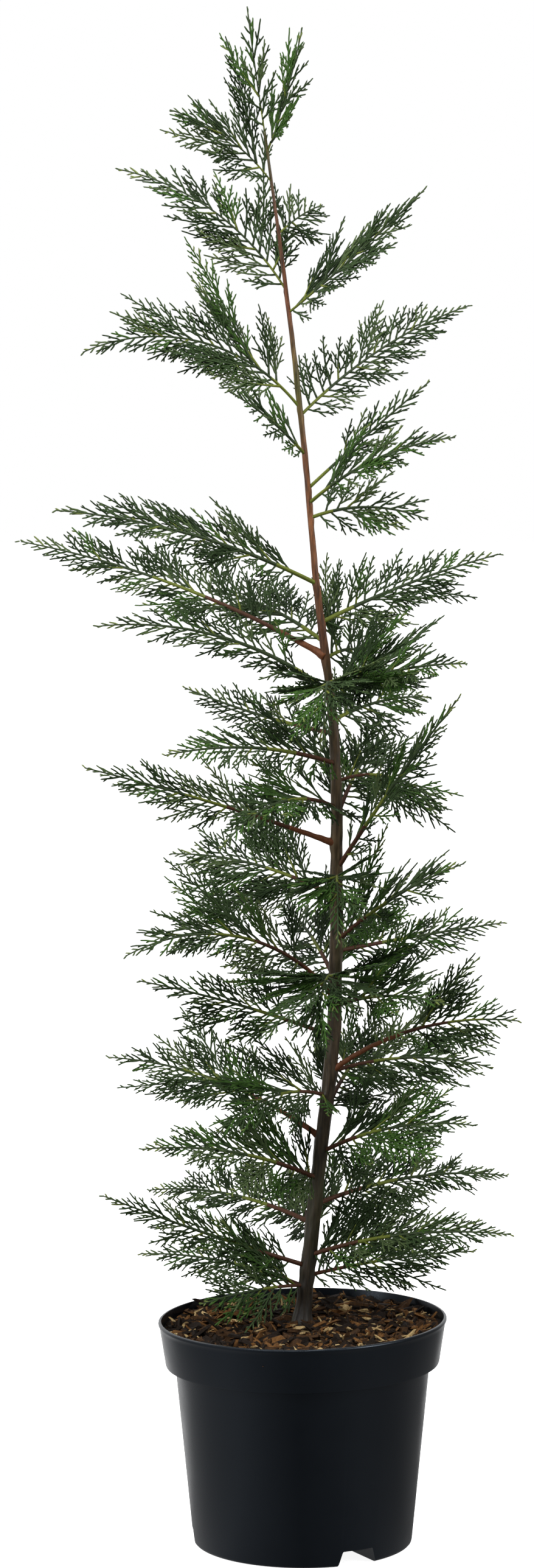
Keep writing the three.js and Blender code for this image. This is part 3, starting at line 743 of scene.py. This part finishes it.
def around_rod(far, sides, relief):
    """Where each corner of a rod is in the pattern of its bark's relief, by its turn and its way along."""
    turns = np.arange(sides) * 2 * math.pi / sides
    return np.stack(np.broadcast_arrays(
        np.cos(turns)[None] * relief["around"], np.sin(turns)[None] * relief["around"],
        far[:, None] / relief["along"],
    ), axis=-1)


# The foliage
limbs = [Limb(row) for row in [LEADER, *LIMBS]]
batches = []
for number, limb in enumerate(limbs):
    batches.append(grow_sprays(limb, number, np.random.default_rng([SEED, number])))
sprays = dict(batches[0])
for key, value in batches[0].items():
    if isinstance(value, np.ndarray):
        sprays[key] = np.concatenate([batch[key] for batch in batches])
draw = np.random.default_rng(SEED)
sprays = picked(sprays, is_free(sprays))
sprigs = grow_side_shoots(sprays, SPRIG, draw)
sprigs = picked(sprigs, is_free(sprigs) & (draw.random(len(sprigs["length"])) > SPRIG["lost"]))
branchlets = grow_side_shoots(sprigs, BRANCHLET, draw)
kept = draw.random(len(branchlets["length"])) > BRANCHLET["lost"]
branchlets = picked(branchlets, is_free(branchlets) & kept)

# Growth gets lighter and yellower towards the tips of a spray
for shoots in (sprigs, branchlets):
    lighter = (shoots["tip"] > LIGHTER["beyond"]) & (draw.random(len(shoots["tip"])) < LIGHTER["share"])
    shoots["tone"] = np.where(lighter, TIP_TONES[shoots["tone"]], shoots["tone"])

meshes = [leafy_shoots(sprays, SPRAY), leafy_shoots(sprigs, SPRIG), leafy_shoots(branchlets, BRANCHLET)]
starts = np.cumsum([0] + [len(mesh[0]) for mesh in meshes])
leaf_places = np.concatenate([mesh[0] for mesh in meshes])
leaf_faces = np.concatenate([mesh[1] + start for mesh, start in zip(meshes, starts)])
leaf_limbs = np.concatenate([mesh[2] for mesh in meshes])
leaf_tones = np.concatenate([mesh[3] for mesh in meshes])

# Limbs are gathered from the top down into pieces of a size that the tools that read them can hold
in_limb = np.bincount(leaf_limbs, minlength=len(limbs))
groups, held = [[]], 0
for number in range(len(limbs)):
    if groups[-1] and held + in_limb[number] > MOST_TRIANGLES:
        groups.append([])
        held = 0
    groups[-1].append(number)
    held += in_limb[number]
for number, group in enumerate(groups, 1):
    mine = np.isin(leaf_limbs, group)
    used, corners = np.unique(leaf_faces[mine], return_inverse=True)
    piece = new_piece(
        f"leaf_sprays_{number}", leaf_places[used], corners.reshape(-1, 3), GREENS, leaf_tones[mine],
    )
    seat(piece, "foliage", *[f"foliage_{limbs[k].name}" for k in group])

# Stems: the limb's own, red near the trunk on all but young limbs, and the first stretch of each long spray
STEM_FINISHES = [RED_BARK, YELLOW_STEM, GREEN_STEM]
RED, YELLOW, GREEN = range(len(STEM_FINISHES))
stems = []
for limb in limbs:
    start = max(limb.start - 1 / limb.reach, 0)
    t = np.linspace(start, STEM["end"], max(STEM["fewest"], int(limb.reach / STEM["step"])))
    _, level, upright = limb.axes(t)
    thick = limb.root_radius() * (BOUGH["tip_share"] if limb.bare else STEM["leafy_share"])
    radii = np.interp(t, [t[0], STEM["end"]], [thick, STEM["tip_radius"]])
    places, faces = rod_mesh(limb.points(t), radii, STEM["sides"], level, upright)
    # How far along each triangle is, with two to a side in each band, and last those of both ends
    in_band = 2 * STEM["sides"]
    far = np.concatenate([np.repeat(t[:-1], in_band), np.full(in_band, STEM["cap"])])
    is_young = limb.height > RED_BELOW and not limb.bare
    red_until = 0 if is_young else limb.bare / limb.reach + STEM["red"]
    finish = np.select([far < red_until, far < red_until + STEM["yellow"]], [RED, YELLOW], GREEN)
    stems.append((places, faces, finish))
for number in np.flatnonzero(sprays["length"] > TWIG["from_length"]):
    rings = TWIG["rings"]
    spray = picked(sprays, np.array([number]))
    far = np.linspace(0, TWIG["share"] * spray["length"][0], rings)
    middles, _ = places_along(spray, np.zeros(rings, dtype=int), far)
    thick = TWIG["radius"] + TWIG["radius_per_length"] * spray["length"][0]
    radii = np.linspace(thick, TWIG["tip_radius"], rings)
    across = np.repeat(spray["across"], rings, axis=0)
    face = np.repeat(np.cross(spray["way"], spray["across"]), rings, axis=0)
    places, faces = rod_mesh(middles, radii, TWIG["sides"], across, face)
    stems.append((places, faces, GREEN if number % TWIG["yellow_every"] else YELLOW))
places, faces, finish = join(stems)
twigs = new_piece("twigs", places, faces, STEM_FINISHES, finish)
seat(twigs, "bark")

# Boughs, with a collar where they leave the trunk and the relief of thin bark
bough_parts = []
sides = BOUGH_RELIEF["sides"]
for limb in limbs:
    if not limb.bare:
        continue
    far = np.linspace(0, limb.bare + BOUGH_RELIEF["overlap"], BOUGH_RELIEF["rings"])
    t = far / limb.reach
    _, level, upright = limb.axes(t)
    from_bark = np.maximum(far - float(trunk_radius(limb.height)), 0)
    radii = limb.root_radius() * np.interp(t, [0, limb.bare / limb.reach], [1, BOUGH["tip_share"]])
    radii = radii * (1 + BOUGH_RELIEF["collar"] * np.exp(-from_bark / BOUGH_RELIEF["collar_fade"]))
    around = around_rod(far, sides, BOUGH_RELIEF)
    relief = 1 + BOUGH_RELIEF["depth"] * ripple(around + limb.height, BOUGH_RELIEF["seed"])
    places, faces = rod_mesh(limb.points(t), radii[:, None] * relief, sides, level, upright)
    bough_parts.append((places, faces, 0))
places, faces, finish = join(bough_parts)
boughs = new_piece("boughs", places, faces, [BOUGH_BARK], finish)
seat(boughs, "bark", *[f"bough_{limb.name}" for limb in limbs if limb.bare])

# The trunk, with furrows, a swelling under each limb and the root flare
flare_top = GROUND + TRUNK_BARK["flare_top"]
heights = np.concatenate([
    np.linspace(GROUND - TRUNK_BARK["below"], flare_top, TRUNK_BARK["flare_rings"])[:-1],
    np.linspace(flare_top, TRUNK["tip"], TRUNK_BARK["rings"]),
])
sides = TRUNK_BARK["sides"]
turns = np.arange(sides) * 2 * math.pi / sides
slim = np.interp(heights, BARK_SLIM["heights"], BARK_SLIM["shares"])
radii = np.repeat((trunk_radius(heights) * slim)[:, None], sides, axis=1)
around = around_rod(heights, sides, TRUNK_BARK)
furrows = TRUNK_BARK["depth"] * ripple(around, TRUNK_BARK["seed"])
fine = TRUNK_BARK["fine_depth"] * ripple(around * np.array(TRUNK_BARK["fine"]), TRUNK_BARK["fine_seed"])
radii = radii * (1 + furrows + fine)
lobes = np.cos(ROOT_LOBES["count"] * turns + ROOT_LOBES["turn"])[None]
fade = np.exp(-np.maximum(heights - GROUND, 0) / ROOT_LOBES["fade"])[:, None]
radii = radii + ROOT_LOBES["height"] * (lobes * fade)
for limb in limbs[1:]:
    heading = math.atan2(limb.ahead[1], limb.ahead[0])
    gap = np.angle(np.exp(1j * (turns - heading)))
    wide = np.exp(-(gap / LIMB_SWELLING["width"]) ** 2)[None]
    above = heights - limb.height + LIMB_SWELLING["below"]
    tall = np.exp(-(above / (LIMB_SWELLING["tall"] * limb.root_radius())) ** 2)[:, None]
    radii = radii + LIMB_SWELLING["share"] * limb.root_radius() * wide * tall
aside = np.repeat([[1.0, 0, 0]], len(heights), axis=0)
beside = np.repeat([[0, 1.0, 0]], len(heights), axis=0)
places, faces = rod_mesh(trunk_points(heights), radii, sides, aside, beside)
trunk = new_piece("trunk_bark", places, faces, [CYPRESS_BARK])
seat(trunk, "bark", "trunk")


# The pot

def pressed_oval(places):
    """Thin plastic gives way as the pot is lifted, so it is more out of round the nearer the rim."""
    turn = np.arctan2(places[:, 1], places[:, 0]) - math.radians(POT["oval_heading"])
    stretch = 1 + POT["oval"] * places[:, 2] / POT["height"] * np.cos(2 * turn)
    return places * np.stack([stretch, stretch, np.ones(len(places))], axis=1)


def turned(profile, sides):
    """A round closed mesh about +Z from (radius, height) points that start and end on the axis."""
    turns = np.arange(sides) * 2 * math.pi / sides
    rings = np.array(profile[1:-1], dtype=float)
    places = np.stack(np.broadcast_arrays(
        rings[:, :1] * np.cos(turns), rings[:, :1] * np.sin(turns), rings[:, 1:],
    ), axis=-1).reshape(-1, 3)
    faces = [lid(0, sides, len(places))[:, BACKWARD], *bands(len(rings), sides)]
    faces.append(lid((len(rings) - 1) * sides, sides, len(places) + 1))
    ends = [(0, 0, profile[0][1]), (0, 0, profile[-1][1])]
    return np.concatenate([places, ends]), np.concatenate(faces)


def inner_wall(margin, top):
    """The pot's inner wall from its floor to a height near the rim, taken in by a margin."""
    shoulder = POT["height"] - POT["collar_height"]
    inset = POT["wall"] + margin
    rise = (top - shoulder - POT["wall"]) / (POT["collar_height"] - POT["wall"])
    brim = POT["collar_foot_radius"] + rise * (POT["rim_radius"] - POT["collar_foot_radius"])
    ledge = shoulder + POT["wall"] + margin
    return [
        (POT["foot_radius"] - inset, POT["floor"] + margin),
        (POT["shoulder_radius"] - inset, ledge),
        (POT["collar_foot_radius"] - inset, ledge),
        (brim - inset, top),
    ]


def pocket_cutter(index, margin):
    """One drainage pocket as a block with drafted sides and rounded edges, grown by a margin."""
    half = (-0.5, 0.5)
    size = [POCKET["depth"] + 2 * margin, POCKET["width"] + 2 * margin, 2 * (POCKET["height"] + margin)]
    corners = np.array([(x, y, z) for x in half for y in half for z in half]) * np.array(size)
    faces = [(0, 1, 3, 2), (4, 6, 7, 5), (0, 4, 5, 1), (2, 3, 7, 6), (0, 2, 6, 4), (1, 5, 7, 3)]
    corners[:, 0] += POT["foot_radius"] - POCKET["depth"] / 2 + POCKET["bevel"]
    corners[:, 1] -= np.sign(corners[:, 1]) * POCKET["draft"] * corners[:, 2]
    turn = math.radians(POCKET["heading"] + index * 360 / POCKET["count"])
    x = corners[:, 0] * math.cos(turn) - corners[:, 1] * math.sin(turn)
    y = corners[:, 0] * math.sin(turn) + corners[:, 1] * math.cos(turn)
    block = new_piece("pocket_cutter", np.stack([x, y, corners[:, 2]], axis=1), faces, [POLYPROPYLENE])
    edge = block.modifiers.new("round", "BEVEL")
    edge.width = POCKET["rounding"] * MM
    edge.segments = POCKET["round_steps"]
    return block


def cut_away(piece, cutters):
    """Cuts other meshes out of a piece, keeps the result as its mesh and removes the cutters."""
    for cutter in cutters:
        cut = piece.modifiers.new("cut", "BOOLEAN")
        cut.operation = "DIFFERENCE"
        cut.solver = "EXACT"
        cut.object = cutter
    bpy.context.view_layer.update()
    ready = piece.evaluated_get(bpy.context.evaluated_depsgraph_get())
    mesh = bpy.data.meshes.new_from_object(ready)
    piece.modifiers.clear()
    piece.data = mesh
    for cutter in cutters:
        bpy.data.objects.remove(cutter)


# The pot's outside, in radius and height: from its rounded foot, out under the collar, over the rolled rim
shoulder = POT["height"] - POT["collar_height"]
rim = POT["rim_radius"]
foot = POT["foot_radius"]
outside = [
    (0, 0), (foot - 3, 0), (foot - 1.3, 0.5), (foot - 0.4, 1.5), (foot, 3),
    (POT["shoulder_radius"] - 0.2, shoulder - 2), (POT["shoulder_radius"] + 0.4, shoulder - 0.6),
    (POT["shoulder_radius"] + 1.6, shoulder), (POT["collar_foot_radius"] - 1.6, shoulder),
    (POT["collar_foot_radius"] - 0.4, shoulder + 0.5), (POT["collar_foot_radius"] + 0.1, shoulder + 1.7),
    (rim - 0.9, POT["height"] - 6), (rim - 0.5, POT["height"] - 3.6), (rim + 0.2, POT["height"] - 2.8),
    (rim + 0.5, POT["height"] - 1.7), (rim + 0.3, POT["height"] - 0.7), (rim - 0.4, POT["height"] - 0.1),
    (rim - 1.2, POT["height"]), (0, POT["height"]),
]
# The hollow reaches past the rim, to cut clear through it
brim = POT["height"] + 2
hollow = [(0, POT["floor"]), *inner_wall(0, POT["height"] - 0.6), (rim - 1.2, brim), (0, brim)]
places, faces = turned(outside, POT_SIDES)
pot = new_piece("nursery_pot", pressed_oval(places), faces, [POLYPROPYLENE])
places, faces = turned(hollow, POT_SIDES)
void = new_piece("pot_hollow", pressed_oval(places), faces, [POLYPROPYLENE])
cut_away(void, [pocket_cutter(i, POT["wall"]) for i in range(POCKET["count"])])
cut_away(pot, [void, *[pocket_cutter(i, 0) for i in range(POCKET["count"])]])
pot.data.shade_smooth()
pot.data.set_sharp_from_angle(angle=math.radians(POT_CREASE))
seat(pot, "pot_plastic", "pot")


# The mulch

def mulch_level(from_middle, turn):
    """The mulch's height: heaped a little towards the trunk, and uneven."""
    edge = POT["rim_radius"] - POT["wall"] - GAP - MULCH["edge_margin"]
    level = np.interp(
        from_middle, [MULCH["crown_radius"], MULCH["shoulder_radius"], edge],
        [GROUND, POT["height"] - MULCH["shoulder_depth"], POT["height"] - MULCH["edge_depth"]],
    )
    spot = np.stack([from_middle * np.cos(turn), from_middle * np.sin(turn)], axis=-1)
    for lift, size, seed in MULCH_RELIEF:
        level = level + lift * ripple(spot / size, seed)
    return level


edge_height = POT["height"] - MULCH["edge_depth"]
*bed_wall, bed_brim = inner_wall(GAP, edge_height)
bed_top = [(radius, edge_height) for radius in np.linspace(bed_brim[0], BED["inmost"], BED["rings"])]
bed_profile = [(0, POT["floor"] + GAP), *bed_wall, *bed_top, (0, GROUND)]
places, faces = turned(bed_profile, BED["sides"])
# All but the wall and the middle of the underside, which is last but one, is lifted to the mulch
top = np.arange(len(places)) >= len(bed_wall) * BED["sides"]
top[-2] = False
spread = np.linalg.norm(places[:, :2], axis=1)
lifted = mulch_level(spread, np.arctan2(places[:, 1], places[:, 0]))
places[top, 2] = lifted[top]
bed = new_piece("compost_bed", pressed_oval(places), faces, [PEAT])
cut_away(bed, [pocket_cutter(i, POT["wall"] + GAP) for i in range(POCKET["count"])])
seat(bed, "compost", "compost")


def bark_chips(count, long, wide, thick, draw):
    """Chips strewn on the mulch: ragged six-cornered slabs that lie nearly flat, as one mesh."""
    turn = draw.uniform(0, 2 * math.pi, count)
    from_middle = CHIP["strewn"] * np.sqrt(draw.uniform(CHIP["bare_middle"], 1, count))
    length = draw.lognormal(math.log(long), CHIP["length_spread"], count)
    length = np.clip(length, CHIP["lengths"][0] * long, CHIP["lengths"][1] * long)
    width = draw.lognormal(math.log(wide), CHIP["width_spread"], count)
    width = np.clip(width, CHIP["widths"][0] * wide, CHIP["widths"][1] * wide)
    depth = thick * draw.uniform(*CHIP["depths"], count)
    from_middle = np.minimum(from_middle, CHIP["outermost"] - CHIP["overhang"] * length)
    height = mulch_level(from_middle, turn) + draw.uniform(*CHIP["lifts"], count)
    middle = np.stack([from_middle * np.cos(turn), from_middle * np.sin(turn), height], axis=1)
    yaw = draw.uniform(0, 2 * math.pi, count)
    pitch = np.radians(draw.normal(0, CHIP["pitch"], count))
    bank = np.radians(draw.normal(0, CHIP["bank"], count))
    ahead = np.stack([np.cos(yaw) * np.cos(pitch), np.sin(yaw) * np.cos(pitch), np.sin(pitch)], axis=1)
    level = np.stack([-np.sin(yaw), np.cos(yaw), np.zeros(count)], axis=1)
    over = np.cross(ahead, level)
    aside = level * np.cos(bank)[:, None] + over * np.sin(bank)[:, None]
    above = np.cross(ahead, aside)
    ragged = np.array(CHIP_OUTLINE) + draw.uniform(-CHIP["ragged"], CHIP["ragged"], (count, 6, 2))
    corners = np.empty((count, 12, 3))
    for layer, (shrink, lift) in enumerate([(1.0, -0.5), (CHIP["top_share"], 0.5)]):
        bow = lift + draw.uniform(-CHIP["bow"], CHIP["bow"], (count, 6))
        corners[:, 6 * layer:6 * layer + 6] = (
            middle[:, None]
            + ahead[:, None] * (ragged[:, :, :1] * shrink * length[:, None, None])
            + aside[:, None] * (ragged[:, :, 1:] * shrink * width[:, None, None])
            + above[:, None] * (bow * depth[:, None])[:, :, None]
        )
    # Corners 0 to 5 are the underside's and 6 to 11 the top's
    slab = [(6, 7, 8), (6, 8, 9), (6, 9, 10), (6, 10, 11), (0, 2, 1), (0, 3, 2), (0, 4, 3), (0, 5, 4)]
    for k in range(6):
        ahead_corner = (k + 1) % 6
        slab += [(k, ahead_corner, 6 + ahead_corner), (k, 6 + ahead_corner, 6 + k)]
    slab = np.array(slab)
    faces = (slab[None] + 12 * np.arange(count)[:, None, None]).reshape(-1, 3)
    return corners.reshape(-1, 3), faces, len(slab)


chip_draw = np.random.default_rng(CHIP["seed"])
chip_parts = []
for count, long, wide, thick, tints in CHIP_KINDS:
    places, faces, each = bark_chips(count, long, wide, thick, chip_draw)
    tint = chip_draw.choice(len(CHIP_BARKS), count, p=tints)
    chip_parts.append((pressed_oval(places), faces, np.repeat(tint, each)))
places, faces, finish = join(chip_parts)
chips = new_piece("bark_chips", places, faces, CHIP_BARKS, finish, smooth=False)
seat(chips, "compost")


# The stage

# The studio's glow by degrees to the right of straight behind the tree: white there, soft left, else dim
STUDIO_GLOW = [
    (-180, 0.14), (-129, 0.41), (-93, 0.34), (-65, 0.36), (-42, 0.75), (-18, 1.0), (18, 0.9), (31, 0.5),
    (42, 0.17), (90, 0.17), (129, 0.25), (180, 0.14),
]


def studio_glow(tree, way):
    """How brightly the studio glows in a direction from the tree."""
    axes = add_node(tree, "ShaderNodeSeparateXYZ", {"Vector": way})
    heading = add_node(tree, "ShaderNodeMath", {
        0: axes.outputs["X"], 1: axes.outputs["Y"],
    }, operation="ARCTAN2")
    turn = add_node(tree, "ShaderNodeMapRange", {
        "Value": heading.outputs["Value"], "From Min": -math.pi, "From Max": math.pi,
    })
    glow = add_node(tree, "ShaderNodeValToRGB", {"Fac": turn.outputs["Result"]})
    ramp = glow.color_ramp
    while len(ramp.elements) < len(STUDIO_GLOW):
        ramp.elements.new(0.5)
    for element, (degrees, level) in zip(ramp.elements, STUDIO_GLOW):
        element.position = degrees / 360 + 0.5
        element.color = (level, level, level, 1)
    return glow.outputs["Color"]


def opal_acrylic():
    """The opal acrylic of a light table: matt and white, and glowing from below behind the tree."""
    finish, tree, place = new_finish("opal_acrylic")
    tooth = add_node(tree, "ShaderNodeTexNoise", {"Vector": place, "Scale": per_mm(3)})
    relief = add_node(tree, "ShaderNodeBump", {
        "Height": tooth.outputs["Fac"], "Strength": 0.05, "Distance": 0.2 * MM,
    })
    surface = add_node(tree, "ShaderNodeBsdfPrincipled", {
        "Base Color": linear("#f4f4f4"), "Normal": relief.outputs["Normal"],
        "Roughness": 0.9, "Specular IOR Level": 0.1,
        "Emission Color": linear("#ffffff"), "Emission Strength": 0.9,
    })
    table = add_node(tree, "ShaderNodeEmission", {"Strength": studio_glow(tree, place)})
    seen = add_node(tree, "ShaderNodeLightPath")
    shown = add_node(tree, "ShaderNodeMixShader", {
        0: seen.outputs["Is Camera Ray"], 1: table.outputs["Emission"], 2: surface.outputs["BSDF"],
    })
    add_node(tree, "ShaderNodeOutputMaterial", {"Surface": shown.outputs["Shader"]})
    return finish


FLOOR_REACH = 14000
floor = new_piece(
    "studio_floor",
    [(-FLOOR_REACH, -FLOOR_REACH, 0), (FLOOR_REACH, -FLOOR_REACH, 0), (FLOOR_REACH, FLOOR_REACH, 0),
     (-FLOOR_REACH, FLOOR_REACH, 0)],
    [(0, 1, 2, 3)], [opal_acrylic()],
)


def softbox(name, place, aim, size, watts):
    """A rectangular soft light that faces a point, with sizes in metres."""
    lamp = bpy.data.lights.new(name, "AREA")
    lamp.shape = "RECTANGLE"
    lamp.size, lamp.size_y = size
    lamp.energy = watts
    holder = bpy.data.objects.new(name, lamp)
    holder.location = place
    holder.rotation_euler = (Vector(aim) - Vector(place)).to_track_quat("-Z", "Y").to_euler()
    bpy.context.scene.collection.objects.link(holder)


scene = bpy.context.scene
softbox("softbox_left", place=(-2.4, -1.6, 2.0), aim=(0, 0, 0.7), size=(1.2, 2.0), watts=60)
softbox("softbox_right", place=(2.4, -1.0, 1.8), aim=(0, 0, 0.6), size=(1.0, 2.0), watts=44)
softbox("softbox_above", place=(0, -0.6, 3.2), aim=(0, 0, 0.6), size=(1.8, 1.8), watts=64)

# The room, which to the eye is white all round
room = bpy.data.worlds.new("white_sweep")
room.use_nodes = True
studio = room.node_tree
studio.nodes.clear()
facing = add_node(studio, "ShaderNodeTexCoord")
sweep = add_node(studio, "ShaderNodeBackground", {
    "Color": linear("#ffffff"), "Strength": studio_glow(studio, facing.outputs["Generated"]),
})
white = add_node(studio, "ShaderNodeBackground", {"Color": linear("#ffffff"), "Strength": 1.0})
seen = add_node(studio, "ShaderNodeLightPath")
shown = add_node(studio, "ShaderNodeMixShader", {
    0: seen.outputs["Is Camera Ray"], 1: sweep.outputs["Background"], 2: white.outputs["Background"],
})
add_node(studio, "ShaderNodeOutputWorld", {"Surface": shown.outputs["Shader"]})
scene.world = room

eye = bpy.data.cameras.new("camera")
eye.sensor_width = SENSOR
eye.lens = FOCAL_PIXELS / IMAGE_HEIGHT * SENSOR
eye.clip_end = 100
camera = bpy.data.objects.new("camera", eye)
camera.location = CAMERA_PLACE
camera.rotation_euler = (math.radians(90 - CAMERA_DOWN), 0, 0)
scene.collection.objects.link(camera)
scene.camera = camera
scene.view_settings.view_transform = "Standard"
